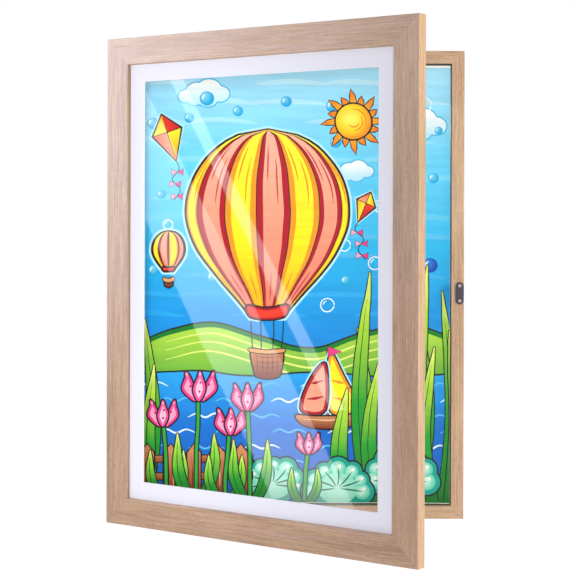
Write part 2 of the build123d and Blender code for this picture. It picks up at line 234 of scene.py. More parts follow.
def oak_foil(name, turn, low, high, upright, seed):
    """Oak-grained foil, satin lacquered, wrapped round a moulded bar.

    The eye sees lengthways streaks about a millimetre wide in pinkish and yellowish bands,
    short dark pores, a slow change of tone between bars and a fine line where two bars meet
    in a mitre. Some bars carry painted shade on their inner sides, darker with depth into the
    recess.
    """
    material, tree = new_material(f"oak_foil_{name}")
    spot = grain_place(tree, turn, low, high)

    def grain(size, shift, detail):
        """Noise stretched along the bar, apart for each bar."""
        along, across = size
        spread = (across, across, along) if upright else (along, across, across)
        return cloud(tree, spot, spread, detail, (shift, seed * 7.3, shift + seed), 0.6)

    figure = reckon(tree, "MULTIPLY", grain(tone_size, 3.1, 1.0), tone_share)
    figure = reckon(tree, "MULTIPLY_ADD", grain(band_size, 37.3, 2.0), band_share, figure)
    figure = reckon(tree, "MULTIPLY_ADD", grain(streak_size, 11.7, 3.0), streak_share, figure)
    pinkish = ramp(tree, figure, (0.38, "#a5846f"), (0.50, "#bb9a84"), (0.62, "#cbab95"))
    yellowish = ramp(tree, figure, (0.38, "#a28263"), (0.50, "#b79776"), (0.62, "#c7a786"))
    hue = ranged(tree, grain(band_size, 51.9, 1.0), {"From Min": 0.3, "From Max": 0.7})
    pores = grain(pore_size, 23.9, 1.0)
    pitted = ramp(tree, pores, (0.32, "#cdbfb2"), (0.44, "#ffffff"))
    wood = blend(tree, pore_share, blend(tree, hue, pinkish, yellowish), pitted, "MULTIPLY")

    # The distance to the nearest mitre, from how far a point lies in from two outer edges
    parts = add(tree, "ShaderNodeSeparateXYZ", {"Vector": spot}).outputs
    half = (high - low) / 2
    in_across = reckon(tree, "ABSOLUTE", parts["X"])
    in_up = reckon(tree, "ABSOLUTE", parts["Z"])
    apart = reckon(tree, "SUBTRACT", in_across, in_up)
    gap = reckon(tree, "ABSOLUTE", reckon(tree, "SUBTRACT", apart, half.x - half.z))
    joint = ranged(tree, gap, {"From Max": joint_width, "To Min": joint_shade}, "SMOOTHSTEP")
    wood = blend(tree, 1.0, wood, joint, "MULTIPLY")
    # Painted shade: the inner sides of these bars turn towards dark brown with depth into the
    # recess
    if name in painted_recess_shades:
        recess_shade_share, recess_shade_depth, bar_width = painted_recess_shades[name]
        past_side = reckon(tree, "SUBTRACT", in_across, half.x - bar_width)
        past_end = reckon(tree, "SUBTRACT", in_up, half.z - bar_width)
        past = reckon(tree, "MAXIMUM", past_side, past_end)
        inside = reckon(tree, "LESS_THAN", past, side_tolerance)
        deep = ranged(tree, parts["Y"], {
            "From Min": -half.y + recess_shade_start, "From Max": -half.y + recess_shade_depth,
            "To Max": recess_shade_share}, "SMOOTHSTEP")
        wood = blend(tree, reckon(tree, "MULTIPLY", inside, deep), wood, colour("#241a15"))
    return principled(material, {
        "Base Color": wood, "Roughness": 0.5, "Normal": relief(tree, pores, 0.25, 0.1 * MM)})


for part, turn, first_seed in (("door", door_turn, 1), ("box", Matrix.Identity(3), 5)):
    bars = [f"{part}_{bar}" for bar in ("rail_top", "rail_bottom", "stile_hinge", "stile_latch")]
    low, high = extent(bars, turn)
    for seed, name in enumerate(bars, first_seed):
        coat(oak_foil(name, turn, low, high, "stile" in name, seed), name)


def grained(name, size, low, high, inputs, depth=0.0):
    """One Principled shader whose colour wanders between two shades in grains of this size.

    The grains and the depth of their relief are in millimetres.
    """
    material, tree = new_material(name)
    spot = add(tree, "ShaderNodeTexCoord").outputs["Object"]
    grain = cloud(tree, spot, [s * MM for s in size], 3.0)
    inputs = {"Base Color": ramp(tree, grain, (0.35, low), (0.65, high)), **inputs}
    if depth:
        inputs["Normal"] = relief(tree, grain, 0.5, depth * MM)
    return principled(material, inputs)


# Smooth white mat board: the eye sees an even, slightly cool white without gloss
coat(grained("smooth_white_mat_board", (0.6, 0.6, 0.6), "#edf0f9", "#f1f4fc", {
    "Roughness": 0.95, "Specular IOR Level": 0.2}, 0.02), "door_mat")

# Satin nickel plate on the hinges and the magnet's cup, with a fine brushed grain along Z
coat(grained("satin_nickel_plate", (0.15, 0.15, 6.0), "#a8a49c", "#c4c0b8", {
    "Metallic": 1.0, "Roughness": 0.3}),
    "hinge_upper_door_leaf", "hinge_lower_door_leaf", "hinge_upper_box_leaf",
    "hinge_lower_box_leaf", "hinge_upper_pin", "hinge_lower_pin", "magnet_cup")

# Bright zinc plate on screws, nails, staples and points: bluish, a little mottled
coat(grained("bright_zinc_plate", (0.5, 0.5, 0.5), "#aeb1b6", "#ccced1", {
    "Metallic": 1.0, "Roughness": 0.24}),
    "glazing_points", "door_corner_nails", "box_corner_nails", "hinge_door_screws",
    "hinge_box_screws", "back_panel_staples", "hanger_nails")

# Zinc-coated strip with faint spangles, as rolled and stamped
coat(grained("zinc_coated_strip", (2.2, 2.2, 2.2), "#989ca2", "#b6babe", {
    "Metallic": 1.0, "Roughness": 0.4}), "hanger_portrait", "hanger_landscape")

# Dark nickel plate: a deep grey with a satin sheen
coat(grained("dark_nickel_plate", (0.3, 0.3, 0.3), "#4c4953", "#5b5862", {
    "Metallic": 1.0, "Roughness": 0.38}), "catch_plate")

head_radius = 2.5 * MM
highlight_radius = 0.9 * MM
highlight_edge_radius = 2.1 * MM


def heads_with_painted_highlight():
    """The same dark plate on two round heads, each with a painted highlight bright in its middle.
    """
    material, tree = new_material("dark_nickel_plate_with_painted_highlight")
    low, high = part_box("catch_plate_screws")
    reach = (high.z - low.z) / 2 - head_radius
    spot = add(tree, "ShaderNodeTexCoord").outputs["Object"]
    centred = add(tree, "ShaderNodeVectorMath", {0: spot, 1: (low + high) / 2},
                  operation="SUBTRACT")
    parts = add(tree, "ShaderNodeSeparateXYZ", {"Vector": centred.outputs["Vector"]}).outputs
    past = reckon(tree, "SUBTRACT", reckon(tree, "ABSOLUTE", parts["Z"]), reach)
    off_axis = add(tree, "ShaderNodeCombineXYZ", {"X": parts["X"], "Z": past})
    away = add(tree, "ShaderNodeVectorMath", {0: off_axis.outputs["Vector"]}, operation="LENGTH")
    plated = ranged(tree, away.outputs["Value"], {
        "From Min": highlight_radius, "From Max": highlight_edge_radius}, "SMOOTHSTEP")
    # Painted highlight: a pale middle on each head that fades to the dark plate at its rim
    shade = blend(tree, plated, colour("#c0b7b6"), colour("#4c4953"))
    return principled(material, {"Base Color": shade, "Metallic": 1.0, "Roughness": 0.3})


coat(heads_with_painted_highlight(), "catch_plate_screws")

# Polished nickel over the magnet
coat(grained("polished_nickel", (1.5, 1.5, 1.5), "#cbc8c1", "#d8d5ce", {
    "Metallic": 1.0, "Roughness": 0.12}), "catch_magnet")

# Plain fibreboard: matted short brown fibres with darker flecks
coat(grained("brown_fibreboard", (3.5, 0.7, 0.7), "#8f6f49", "#a08059", {
    "Roughness": 0.85, "Specular IOR Level": 0.2}, 0.05), "back_panel")

# Soft clear rubber dots, milky where they are thick
coat(grained("clear_soft_rubber", (1.0, 1.0, 1.0), "#d5d6d2", "#e2e3df", {
    "Roughness": 0.22, "Subsurface Weight": 0.4, "Subsurface Scale": 1.0 * MM}), "closing_dots")

# Soft grey rubber dots, matt and finely pitted
coat(grained("soft_grey_rubber", (0.4, 0.4, 0.4), "#333333", "#404040", {
    "Roughness": 0.9}, 0.04), "wall_dots")

acrylic_index = 1.49
two_faces = 1.9


def acrylic():
    """Clear cast acrylic: it lets light and shadows straight through and mirrors a little.

    The side that a ray meets first mirrors for both faces, and the other not at all.
    """
    material, tree = new_material("clear_cast_acrylic")
    edge_on = add(tree, "ShaderNodeFresnel", {"IOR": acrylic_index}).outputs["Fac"]
    back = add(tree, "ShaderNodeNewGeometry").outputs["Backfacing"]
    mirrored = reckon(tree, "MULTIPLY", reckon(tree, "MULTIPLY", edge_on, two_faces),
                      reckon(tree, "SUBTRACT", 1.0, back), use_clamp=True)
    through = add(tree, "ShaderNodeBsdfTransparent", {"Color": colour("#fdfefe")})
    mirror = add(tree, "ShaderNodeBsdfAnisotropic", {"Roughness": 0.02})
    mixed = add(tree, "ShaderNodeMixShader", {
        "Fac": mirrored, 1: through.outputs["BSDF"], 2: mirror.outputs["BSDF"]})
    return shown(material, mixed.outputs["Shader"])


coat(acrylic(), "door_glazing")


# The drawing on show: a painted lake with striped balloons, in millimetres from the sheet's
# lower left corner. Each shape is an outline and a tone, laid from the back to the front.
sheet_low, sheet_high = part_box("artwork_sheet")
sheet_wide = (sheet_high.x - sheet_low.x) / MM
sheet_tall = (sheet_high.z - sheet_low.z) / MM
sheet_thick = sheet_high.y - sheet_low.y
border_side = 0.1
border_top = 1.9
border_foot = 0.5
field_low = (border_side, border_foot)
field_high = (sheet_wide - border_side, sheet_tall - border_top)
picture = []

line_width = 1.6
fine_line = 0.9
tremor_size = 26.0
tremor = 0.8
tremor_seed = 11
noise.seed_set(tremor_seed)


def lay(points, tone):
    """Adds a shape to the picture, with the small tremor of a hand-drawn line."""
    shaken = []
    for u, v in points:
        shake = noise.noise_vector(Vector((u, v, 0)) / tremor_size)
        shaken.append((u + tremor * shake.x, v + tremor * shake.y))
    picture.append((np.array(shaken), tone))


def flat(text):
    """A tone that is the same all over."""
    shade = np.array(colour(text)[:3])
    return lambda u, v: np.tile(shade, (len(u), 1))


ink = flat("#101218")


def pairs(u, v):
    """Points from their places across and up."""
    return np.stack([u, v], axis=1)


def toned(stops, share_at):
    """A tone that changes from stop to stop with the share that each point has."""
    shares = [share for share, _ in stops]
    shades = np.array([colour(text)[:3] for _, text in stops])

    def tone(u, v):
        share = share_at(u, v)
        return np.stack([np.interp(share, shares, shades[:, i]) for i in range(3)], axis=1)
    return tone


def graded(stops, start, end):
    """A tone that changes between two points."""
    run = np.subtract(end, start)
    return toned(stops, lambda u, v: (
        (u - start[0]) * run[0] + (v - start[1]) * run[1]) / (run @ run))


def domed(stops, centre, radius):
    """A tone that changes with the distance from a point."""
    return toned(stops, lambda u, v: np.hypot(u - centre[0], v - centre[1]) / radius)


def unit(vectors, least=1e-6):
    """The vectors at length one, or shorter where they were shorter than the least."""
    return vectors / np.maximum(np.hypot(vectors[:, 0], vectors[:, 1]), least)[:, None]


def grown(points, amount):
    """The same outline moved outwards, or inwards by an amount below zero."""
    points = np.array(points, float)
    ahead = np.roll(points, -1, axis=0)
    if np.sum(points[:, 0] * ahead[:, 1] - ahead[:, 0] * points[:, 1]) < 0:
        points = points[::-1]
        ahead = np.roll(points, -1, axis=0)
    edge = unit(ahead - points)
    bisector = unit(edge + np.roll(edge, 1, axis=0), 0.5)
    return points + pairs(bisector[:, 1], -bisector[:, 0]) * amount


def smooth(points, closed=True, steps=7):
    """A smooth curve through given points."""
    points = np.array(points, float)
    last = len(points) - 1
    spots = []
    for i in range(last + 1 if closed else last):
        around = [(i + k) % (last + 1) if closed else min(max(i + k, 0), last)
                  for k in (-1, 0, 1, 2)]
        before, here, there, after = points[around]
        for step in range(steps):
            t = step / steps
            spots.append(0.5 * (
                2 * here + (there - before) * t
                + (2 * before - 5 * here + 4 * there - after) * t ** 2
                + (3 * here - before - 3 * there + after) * t ** 3))
    if not closed:
        spots.append(points[-1])
    return np.array(spots)


def arc(centre, radius, turns, high_share=1.0):
    """Points on a circle, or on an oval whose height is a share of its width."""
    return pairs(centre[0] + radius * np.cos(turns),
                 centre[1] + radius * high_share * np.sin(turns))


def disc(centre, radius, high_share=1.0, count=36):
    """A whole circle or oval."""
    return arc(centre, radius, np.linspace(0, 2 * math.pi, count, endpoint=False), high_share)


def between(one, other):
    """The outline that goes along one side and back along the other."""
    return np.concatenate([one, other[::-1]])


def left_of(path):
    """The direction to the left of a path, at each of its points."""
    run = unit(np.gradient(path, axis=0))
    return pairs(-run[:, 1], run[:, 0])


def stroke(path, width, tone, taper=True):
    """A pen or brush stroke along a path, thin at its ends."""
    path = np.array(path, float)
    half = np.full(len(path), width / 2)
    if taper:
        share = np.linspace(0, 1, len(path))
        half *= np.sqrt(np.sin(math.pi * np.clip(share, 0.02, 0.98)))
    side = left_of(path) * half[:, None]
    lay(between(path + side, path - side), tone)


def inked(points, line=line_width, halo=0.0):
    """The ink round a shape, with a pale halo round it where one is given."""
    if halo:
        lay(grown(points, line + halo), flat("#b9eafc"))
    lay(grown(points, line), ink)


def motif(points, tone, rim=None, rim_width=0.0, line=line_width, halo=0.0):
    """A shape with an inked outline, and a darker rim inside it where one is given."""
    inked(points, line, halo)
    lay(points, rim or tone)
    if rim:
        lay(grown(points, -rim_width), tone)


# Sky that deepens into the lake
motif_field = np.array([field_low, (field_high[0], field_low[1]), field_high,
                        (field_low[0], field_high[1])])
sky_stops = ((0.0, "#0a58b8"), (0.22, "#0a6fd0"), (0.42, "#0c94e4"), (0.58, "#25b9f3"),
             (0.78, "#66d2fb"), (1.0, "#a9e2ff"))
picture.append((motif_field, graded(sky_stops, (0, 0), (0, sheet_tall))))
wash_tone = graded(((0, "#1ea6ec"), (0.5, "#6ed3f8"), (1, "#c4ecff")), (0, 190),
                   (0, sheet_tall))
for row in range(13):
    level = 180 + row * 18.5
    for step in range(3):
        start = (row * 67 + step * 118) % 300 - 30
        stroke(smooth([(start, level), (start + 34, level + 2.5), (start + 72, level - 1)],
                      closed=False), 5.0, wash_tone)


cloud_puffs = ((-1.1, -0.1, 0.42), (-0.5, 0.15, 0.6), (0.2, 0.25, 0.7), (0.85, 0.0, 0.5),
               (0.1, -0.2, 0.6), (-0.6, -0.25, 0.45))


def cloud_bank(centre, size):
    """A pale cloud of round puffs."""
    u, v = centre
    rounds = [disc((u + du * size, v + dv * size), r * size, 0.85) for du, dv, r in cloud_puffs]
    for spots in rounds:
        lay(grown(spots, 1.2), flat("#3cb4e6"))
    for spots in rounds:
        lay(spots, graded(((0, "#b4e4fa"), (1, "#f8fdff")), (u, v - size * 0.5),
                          (u, v + size * 0.6)))


cloud_bank((62, 392), 17)
cloud_bank((206, 318), 13)
cloud_bank((266, 362), 20)


def drop(centre, radius, dark, light):
    """A round dab of paint with a darker rim and a white crescent."""
    u, v = centre
    lay(disc(centre, radius, count=28), flat(dark))
    lay(disc((u - radius * 0.06, v + radius * 0.06), radius * 0.84, count=28),
        domed(((0, light), (0.9, dark), (1, dark)),
              (u - radius * 0.32, v + radius * 0.32), radius * 1.25))
    crescent = arc(centre, radius * 0.6, np.radians(np.linspace(115, 195, 9)))
    stroke(crescent, radius * 0.22, flat("#f2fbff"))


def ring(centre, radius):
    """A thin white ring of body colour with a short curve in it."""
    path = arc(centre, radius, np.linspace(0, 2 * math.pi * 0.97, 30))
    stroke(path, 1.0, flat("#f4fbff"), taper=False)
    stroke(path[8:16] * 0.6 + np.array(centre) * 0.4, fine_line, flat("#f4fbff"))


picked = np.random.default_rng(7)
dab_places = []
while len(dab_places) < 34:
    spot = (picked.uniform(10, 287), picked.uniform(180, 404))
    if all(math.dist(spot, other) > 24 for other in dab_places):
        dab_places.append(spot)
for index, spot in enumerate(dab_places):
    size = picked.uniform(3.8, 7.0)
    if index % 3 == 1:
        ring(spot, size)
    elif spot[1] > 320 or index % 2:
        drop(spot, size, "#0ea4de", "#86dcf6")
    else:
        drop(spot, size, "#0648b8", "#2f8ee6")


def ground(edge, tone):
    """All that lies below a line across the sheet."""
    lay(np.concatenate([edge, [(301, -4), (-4, -4)]]), tone)


# Rounded hills with a darker rim and lighter furrows, and the lake before them
crest = smooth([(-4, 150), (30, 166), (72, 172), (120, 158), (166, 148), (214, 163), (262, 170),
                (301, 158)], closed=False)
ground(crest + (0, line_width), ink)
ground(crest, flat("#0f7a28"))
ground(crest - (0, 4.2), graded(((0, "#1c9430"), (1, "#b4e048")), (0, 105), (0, 170)))
for depth in (10, 18, 27):
    stroke(crest[6:-6] - (0, depth), 2.0, flat("#e4f27c"))

shore = smooth([(-4, 122), (50, 126), (110, 121), (170, 125), (240, 120), (301, 124)],
               closed=False)
ground(shore + (0, line_width), ink)
ground(shore, graded(((0, "#0650b4"), (0.6, "#0a70d2"), (1, "#22a4ee")), (0, 0), (0, 124)))
for row in range(7):
    level = 112 - row * 15
    for step in range(6):
        start = step * 54 + (row % 2) * 26 - 8
        wave = smooth([(start, level), (start + 8, level + 3.4), (start + 17, level),
                       (start + 26, level + 3.4), (start + 35, level)], closed=False)
        stroke(wave, 1.8, flat("#58baf4" if (row + step) % 3 else "#dcf3fd"))


def balloon(centre, radius, height, mouth, meridians):
    """A hot-air balloon: its gores are drawn as they curve round the envelope."""
    u, v = centre
    widest = 0.56
    rise = np.linspace(0, 1, 34)
    lower = mouth + (radius - mouth) * np.sin(np.clip(rise / widest, 0, 1) * math.pi / 2) ** 1.15
    upper = radius * np.sqrt(np.clip(1 - ((rise - widest) / (1 - widest)) ** 2, 0, 1))
    half = np.where(rise < widest, lower, upper)
    level = v + rise * height

    def seam(share):
        """The line that runs up the envelope at this share of its half width."""
        return pairs(u + half * share, level)

    inked(between(seam(-1), seam(1)), halo=2.0)
    edges = np.sin(np.radians(meridians))
    for index, (left, right) in enumerate(zip(edges, edges[1:])):
        gore = between(seam(left), seam(right))
        warm = index % 2 == 0
        body = graded(
            ((0, "#f4a81c"), (0.4, "#fcea14"), (1, "#fff03a")) if warm
            else ((0, "#ee7f62"), (0.6, "#f8a488"), (1, "#fab8a0")), centre, (u, v + height))
        lay(gore, ink)
        lay(grown(gore, -0.5), flat("#f39a24" if warm else "#b3122a"))
        middle = u + half * (left + right) / 2
        both = np.concatenate([middle, middle[::-1]])
        inner = pairs(both + (gore[:, 0] - both) * 0.6, gore[:, 1])
        lay(inner[2:-2], body)
        for start, end, aside in ((24, 31, -0.16), (20, 29, 0.14), (3, 9, 0.0)):
            path = pairs(middle + half * (right - left) * aside, level)
            stroke(path[start:end], radius * 0.018, flat("#ea8a1c" if warm else "#c8384a"))


def collar(centre, half, tall):
    """The red cuff round a balloon's mouth."""
    u, v = centre
    cuff = smooth([(u - half - 1, v), (u, v - tall * 0.3), (u + half + 1, v),
                   (u + half + tall * 0.3, v + tall), (u, v + tall * 0.7),
                   (u - half - tall * 0.3, v + tall)])
    motif(cuff, flat("#ee3a22"), flat("#a80f24"), tall * 0.16)


def basket(centre, wide, tall):
    """A woven basket under a rolled rail."""
    left, right, top, foot = (centre[0] - wide / 2, centre[0] + wide / 2, centre[1],
                              centre[1] - tall)
    slant = wide * 0.09
    body = smooth([(left, top), (centre[0], top - 1.5), (right, top),
                   (right - slant, foot + tall * 0.14), (right - slant * 2.7, foot),
                   (centre[0], foot - 1), (left + slant * 2.7, foot),
                   (left + slant, foot + tall * 0.14)])
    motif(body, graded(((0, "#7c2f14"), (1, "#cb8456")), (0, foot), (0, top)))
    for row in range(1, 5):
        level = top - row * tall / 5
        stroke([(left + 2, level), (centre[0], level - 1.4), (right - 2, level)], fine_line,
               flat("#5a1f0e"))
    for column in range(1, 6):
        across = left + column * wide / 6
        stroke([(across, top - 1.5), (across + 0.2, (top + foot) / 2), (across, foot + 1)],
               fine_line, flat("#5a1f0e"))
    rail = smooth([(left - 1, top - 1), (centre[0], top - 2.6), (right + 1, top - 1),
                   (right + 1, top + 2), (centre[0], top + 0.6), (left - 1, top + 2)])
    motif(rail, flat("#e6a468"), line=1.0)


def balloon_with_basket(place, radius, height, mouth, meridians):
    """A balloon whose basket hangs on four ropes."""
    u, v = place
    drop_to = v - mouth * 2
    for share in (-1, -0.4, 0.4, 1):
        stroke([(u + share * mouth, v + 3), (u + share * mouth * 0.95, (v + drop_to) / 2),
                (u + share * mouth * 0.85, drop_to)], mouth * 0.07, ink, taper=False)
    balloon(place, radius, height, mouth, meridians)
    collar((u, v + 1), mouth, mouth * 0.66)
    basket((u, drop_to), mouth * 1.85, mouth * 1.6)


balloon_with_basket((122, 178), 78, 180, 16, (-90, -60, -32, -8, 16, 40, 66, 90))
balloon_with_basket((27, 222), 15.5, 38, 4, (-90, -40, 0, 40, 90))


def sun(centre, radius, rays):
    """A sun with long and short rays in turn."""
    u, v = centre
    for index in range(rays):
        turn = 2 * math.pi * index / rays
        long = radius * (1.85 if index % 2 == 0 else 1.5)
        across = math.pi / rays * 0.8
        tip = (u + long * math.cos(turn + 0.08), v + long * math.sin(turn + 0.08))
        foot = arc(centre, radius * 1.1, turn + across * np.array((-1, 1)))
        bend = [(0.5 * (tip[0] + f[0]) + s * math.sin(turn),
                 0.5 * (tip[1] + f[1]) - s * math.cos(turn)) for f, s in zip(foot, (1.2, -0.4))]
        ray = np.array([foot[0], bend[0], tip, bend[1], foot[1]])
        motif(ray, domed(((0, "#ffee2a"), (0.6, "#f9a51c"), (1, "#ee6a1a")), centre, long),
              line=1.1)
    motif(disc(centre, radius), domed(((0, "#fff470"), (0.6, "#fdd91a"), (1, "#f58a1a")),
                                      (u - 3, v + 3), radius * 1.15))
    for index in range(3):
        turns = np.linspace(-0.6 - index, 1.8 - index, 14)
        stroke(arc(centre, radius * (0.7 - 0.2 * index), turns), 1.4, flat("#ee8c1e"))


sun((204, 366), 17, 16)


kite_panels = (("#ffee2a", "#f9a51c"), ("#f8a488", "#ea5a1e"), ("#ffee2a", "#f6981c"),
               ("#ee3422", "#b3122a"))


def kite(centre, size, lean, order, tail):
    """A kite in four panels, with a tail of small bows."""
    turn = Matrix.Rotation(math.radians(lean), 2)
    nose, left, right, foot, hub = (
        [*(Vector(centre) + turn @ (Vector(p) * size))]
        for p in ((0, 1), (-0.62, 0.25), (0.62, 0.25), (0, -1), (0, 0.25)))
    inked([nose, left, foot, right], halo=1.6)
    for corners, panel in zip(((nose, left, hub), (left, foot, hub), (foot, right, hub),
                               (right, nose, hub)), order):
        lay(grown(corners, -0.6), graded(tuple(enumerate(kite_panels[panel])), hub, corners[0]))
    path = smooth([foot] + [[foot[0] + du, foot[1] + dv] for du, dv in tail], closed=False)
    stroke(path, fine_line, ink, taper=False)
    for share in (0.35, 0.62, 0.9):
        knot = path[int(share * (len(path) - 1))]
        for side in (-1, 1):
            bow = np.array([knot, knot + (side * 5.4, 2.8), knot + (side * 5.4, -2.8)])
            motif(bow, flat("#f23a8e" if side > 0 else "#fba6c8"), line=0.8)


kite((27, 350), 23, 18, (0, 1, 2, 3), [(3, -8), (-4, -18), (4, -28), (-2, -38)])
kite((215, 284), 15, -24, (1, 0, 3, 2), [(-3, -8), (5, -17), (0, -27), (7, -36)])


def sailing_boat(centre, wide):
    """A boat with two striped sails."""
    u, v = centre
    hull = smooth([(u - wide / 2, v), (u - wide * 0.2, v - 1.2), (u + wide * 0.2, v - 1),
                   (u + wide / 2, v + 1), (u + wide * 0.36, v - wide * 0.17),
                   (u, v - wide * 0.21), (u - wide * 0.36, v - wide * 0.16)], steps=9)
    mast = np.array([(u, v - 2), (u + 0.8, v + wide * 0.5), (u, v + wide * 1.08)])
    stroke(mast, 3.2, ink, taper=False)
    stroke(mast, 1.5, flat("#b06a3c"), taper=False)
    for side, reach, top, pale in ((1, 0.5, 1.0, "#fff01c"), (-1, 0.42, 0.84, "#f8a488")):
        sail = smooth([(u + side * 2, v + 5), (u + side * 2, v + wide * top),
                       (u + side * wide * 0.3, v + wide * 0.55), (u + side * wide * reach, v + 5)])
        tone = flat("#f39a24" if side > 0 else "#b3122a")
        motif(sail, flat(pale), tone, 2.6, halo=1.4)
        for share in (0.3, 0.56):
            level = v + wide * share
            stroke([(u + side * 4, level), (u + side * wide * 0.2, level - 2),
                    (u + side * wide * (0.42 - share * 0.28), level - 2.5)], 3.0, tone)
    motif(hull, graded(((0, "#7c2f14"), (1, "#cf8a5a")), (0, v - wide * 0.2), (0, v)))
    stroke([(u - wide * 0.4, v - 3.4), (u, v - 5), (u + wide * 0.4, v - 3)], 1.4, flat("#f0bc92"))
    pennant = np.array([(u + 0.4, v + wide * 1.1), (u + 13, v + wide * 1.02),
                        (u + 0.4, v + wide * 0.95)])
    motif(pennant, flat("#f23a8e"), line=1.0)


sailing_boat((180, 84), 60)


def blade(root, tip, sway, wide, pale):
    """A blade of tall grass: light at its tip, deep green at its root."""
    root, tip = np.array(root, float), np.array(tip, float)
    share = np.linspace(0, 1, 18)
    path = root + (tip - root) * share[:, None]
    path[:, 0] += sway * np.sin(math.pi * share * 1.25)
    half = wide / 2 * np.clip(np.sin(math.pi * (0.22 + 0.78 * share)), 0.03, 1) ** 0.8
    side = left_of(path) * half[:, None]
    greens = ((0, "#0b6a22"), (0.45, "#1ca02c"), (0.8, pale), (1, "#ecf67c"))
    motif(between(path + side, path - side), graded(greens, root, tip), line=1.1)
    stroke(path[2:-2] + side[2:-2] * 0.12, fine_line, flat("#0c4a1c"))


grass = ((208, 168, 9), (221, 222, -8), (236, 190, 8), (250, 236, -10), (263, 198, 9),
         (276, 228, -7), (289, 204, 8), (229, 134, -7), (257, 144, 9), (283, 150, -8),
         (296, 166, 6), (199, 110, -6), (4, 176, 7), (14, 132, -5))
for index, (across, top, sway) in enumerate(grass):
    blade((across, -5), (across + sway * 0.8, top), sway, 13 + index % 3 * 1.5,
          "#b0e03c" if index % 2 else "#86cc36")


def bush(centre, size, seed):
    """A round-leaved bush: lobes with a teal rim, a mint body and white dots."""
    lobes = []
    for index in range(7):
        turn = math.radians(-10 + index * 33)
        lobes.append((centre[0] + size * math.cos(turn), centre[1] + size * 0.8 * math.sin(turn),
                      size * (0.42 + 0.07 * math.sin(seed + index * 2.1))))
    for u, v, radius in lobes:
        lay(disc((u, v), radius + line_width), ink)
    lay(disc(centre, size * 0.95), flat("#0fa08e"))
    for u, v, radius in lobes:
        lay(disc((u, v), radius), flat("#0fa08e"))
    for u, v, radius in lobes:
        lay(disc((u, v), radius * 0.66), domed(((0, "#d8f6e8"), (0.6, "#96e2ca"), (1, "#58cab0")),
                                               (u - 1, v + 1), radius * 0.7))
    lay(disc(centre, size * 0.8, 0.8), domed(((0, "#b4ecd8"), (1, "#78d8bc")), centre, size))
    for u, v, radius in lobes:
        reach = np.subtract((u, v), centre)
        vein = [centre + reach * 0.12, centre + reach * 0.55 + (1, 0), (u, v)]
        stroke(smooth(vein, closed=False), 1.4, flat("#0c5c56"))
        lay(disc((u + radius * 0.15, v + radius * 0.25), 1.6, 1, 12), flat("#fbf6ee"))


bush((250, 24), 26, 1)
bush((128, 18), 22, 4)
bush((190, 14), 24, 2)


def tulip(root, top, lean, size):
    """A tulip with two leaves."""
    head = (root[0] + lean, top)
    stem = smooth([root, (root[0] + lean * 0.2, root[1] + (top - root[1]) * 0.5), head],
                  closed=False)
    stroke(stem, 5.2, ink, taper=False)
    stroke(stem, 2.8, flat("#2da63a"), taper=False)
    for side in (-1, 1):
        blade((root[0] + side, root[1]),
              (root[0] + side * size * 1.3, root[1] + (top - root[1]) * 0.62),
              side * size * 0.35, size * 0.62, "#98dc3c")
    u, v = head
    for share, shade, rim in ((-0.55, "#fba6c8", "#f23a8e"), (0.55, "#fba6c8", "#f23a8e"),
                              (0.0, "#fdc4da", "#f4509c")):
        petal = smooth([(u + share * size * 0.4, v - size * 0.75),
                        (u + share * size * 1.1 - size * 0.34, v - size * 0.1),
                        (u + share * size * 1.25 - size * 0.12, v + size * 0.62),
                        (u + share * size * 1.45, v + size * 0.95),
                        (u + share * size * 1.25 + size * 0.16, v + size * 0.6),
                        (u + share * size * 1.1 + size * 0.34, v - size * 0.1)])
        motif(petal, flat(shade), flat(rim), size * 0.14)
    for share, level in ((-0.5, 0.1), (0.52, 0.2), (0.02, -0.2), (0.05, 0.3)):
        lay(disc((u + share * size, v + level * size), 1.1, 1, 10), flat("#b4136a"))


def fence(left, right, top):
    """A brown picket fence."""
    for level in (top * 0.42, top * 0.74):
        bar = np.array([(left, level), (right, level + 1.5), (right, level + 7.5),
                        (left, level + 6)])
        motif(bar, graded(((0, "#8a3a1c"), (1, "#bd7446")), (0, level), (0, level + 7)))
    count = 5
    for index in range(count):
        across = left + (right - left) * (index + 0.5) / count
        picket = [(across - 6.5, -4), (across + 6.5, -4), (across + 6.5, top - 4),
                  (across, top + 4), (across - 6.5, top - 4)]
        motif(np.array(picket), graded(((0, "#6e2610"), (0.55, "#ad5e34"), (1, "#d08a5c")),
                                       (across, 0), (across, top)))
        stroke([(across - 2, 6), (across - 1.4, top * 0.5), (across - 2.2, top - 8)], 1.0,
               flat("#5a1f0e"))
        stroke([(across + 3, top * 0.3), (across + 2.4, top * 0.6), (across + 3, top - 6)], 1.4,
               flat("#eebc94"))


fence(-4, 108, 52)
for root, top, lean, size in (((26, -4), 84, -4, 15), ((54, -4), 110, 3, 17),
                              ((82, -4), 76, 5, 15), ((106, -4), 100, -3, 15.5),
                              ((158, -4), 56, 4, 12)):
    tulip(root, top, lean, size)


def covered(spots, outline):
    """Which points lie inside an outline, by its winding round each of them."""
    low, high = outline.min(0), outline.max(0)
    near = np.flatnonzero(np.all((spots >= low) & (spots <= high), axis=1))
    u, v = spots[near, 0][:, None], spots[near, 1][:, None]
    start, end = outline, np.roll(outline, -1, axis=0)
    rising = (start[:, 1] <= v) & (end[:, 1] > v)
    falling = (start[:, 1] > v) & (end[:, 1] <= v)
    side = ((end[:, 0] - start[:, 0]) * (v - start[:, 1])
            - (end[:, 1] - start[:, 1]) * (u - start[:, 0]))
    turns = (rising & (side > 0)).sum(1) - (falling & (side < 0)).sum(1)
    return near[turns != 0]


curl_reach = 50.0
curl_height = 2.5
bow_reach = 40.0
bow_height = 1.0
wave_height = 0.7
wave_across, wave_up, wave_start = 61.0, 83.0, 0.4
calm_edge = 40.0
grid_step = 4.0
merge_gap = 0.02


